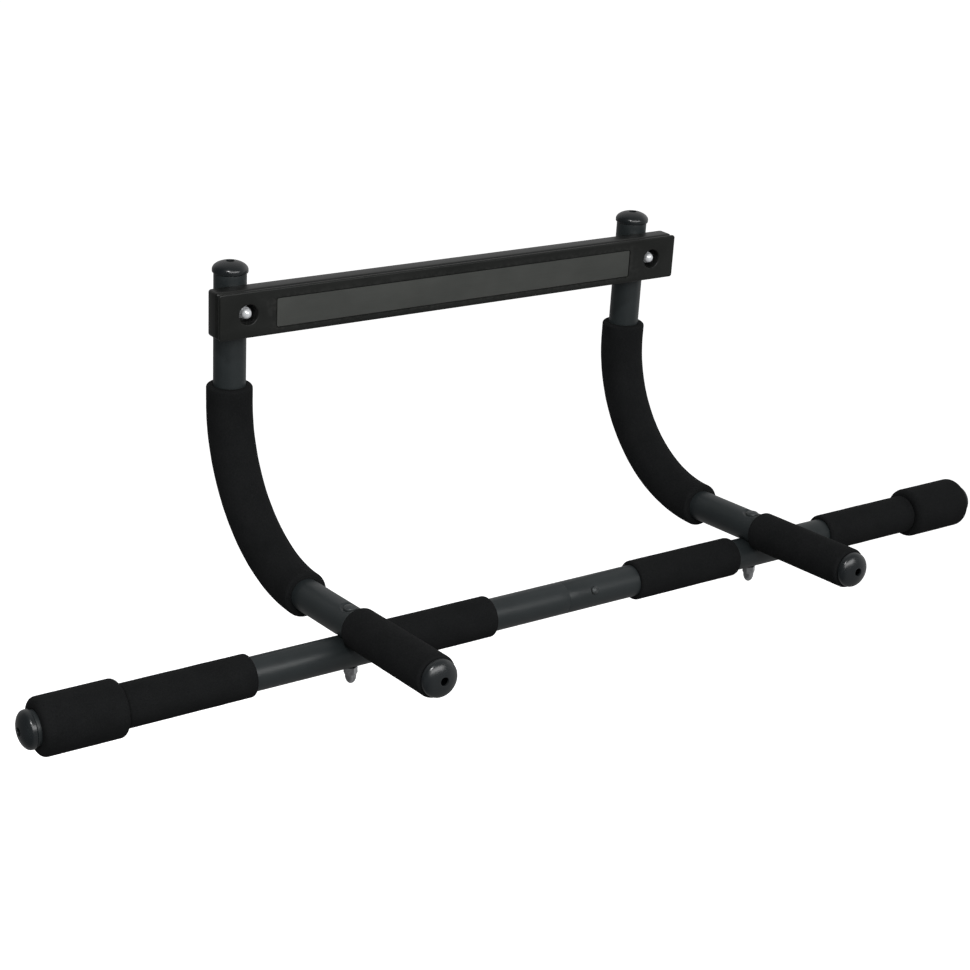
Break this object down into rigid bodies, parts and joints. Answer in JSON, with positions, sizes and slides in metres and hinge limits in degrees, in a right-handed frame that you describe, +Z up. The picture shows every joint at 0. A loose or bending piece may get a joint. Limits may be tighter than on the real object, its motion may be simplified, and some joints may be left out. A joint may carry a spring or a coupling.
{
  "type": "doorway pull-up bar",
  "caption": "Pull-up bar with foam grips that hangs in a doorway on two bent tube arms and a flat rear cross bar.",
  "frame": {"origin": "middle of the cross bar's underside, where it rests on top of the door trim", "axes": "+X to the right along the long bar, +Y to the rear, from the user through the doorway, +Z up"},
  "size_m": [0.985, 0.3643, 0.2972],
  "materials": {
    "tube_paint": "charcoal satin powder coat on steel tube",
    "foam": "matte closed-cell foam",
    "plug": "dark grey semi-gloss moulded plug",
    "moulding": "black moulded plastic",
    "cover": "black satin cover",
    "label": "plain mid-grey strip",
    "bright_plate": "bright plated steel",
    "black_bolt": "blackened zinc-plated steel",
    "spring_steel": "plain spring steel strip"
  },
  "bodies": {
    "frame": {"bar_tube_left": "tube_paint", "bar_tube_right": "tube_paint", "arm_left": "tube_paint", "arm_right": "tube_paint", "button_spring": "spring_steel", "bar_cap_left": "plug", "bar_cap_right": "plug", "arm_top_cap_left": "plug", "arm_top_cap_right": "plug", "arm_grip_cap_left": "plug", "arm_grip_cap_right": "plug", "bumper_left": "foam", "bumper_right": "foam", "outer_grip_left": "foam", "outer_grip_right": "foam", "inner_grip_left": "foam", "inner_grip_right": "foam", "arm_sleeve_left": "foam", "arm_sleeve_right": "foam", "arm_grip_left": "foam", "arm_grip_right": "foam", "cross_bar_body": "moulding", "cross_bar_face": "cover", "label_plate": "label", "arm_bolt_left": "black_bolt", "arm_bolt_right": "black_bolt", "cross_bolt_left": "black_bolt", "cross_bolt_right": "black_bolt", "arm_nut_left": "bright_plate", "arm_nut_right": "bright_plate", "cross_nut_left": "bright_plate", "cross_nut_right": "bright_plate", "cross_washer_left": "bright_plate", "cross_washer_right": "bright_plate"},
    "button": {"snap_button": "black_bolt"}
  },
  "joints": [
    {"name": "button_press", "type": "slide", "parent": "frame", "child": "button", "axis": [0, 0.866, -0.5], "range_m": [0, 0.0042], "stiffness_N_per_m": 900, "springref_m": -0.002, "deforming": ["button_spring"]}
  ]
}
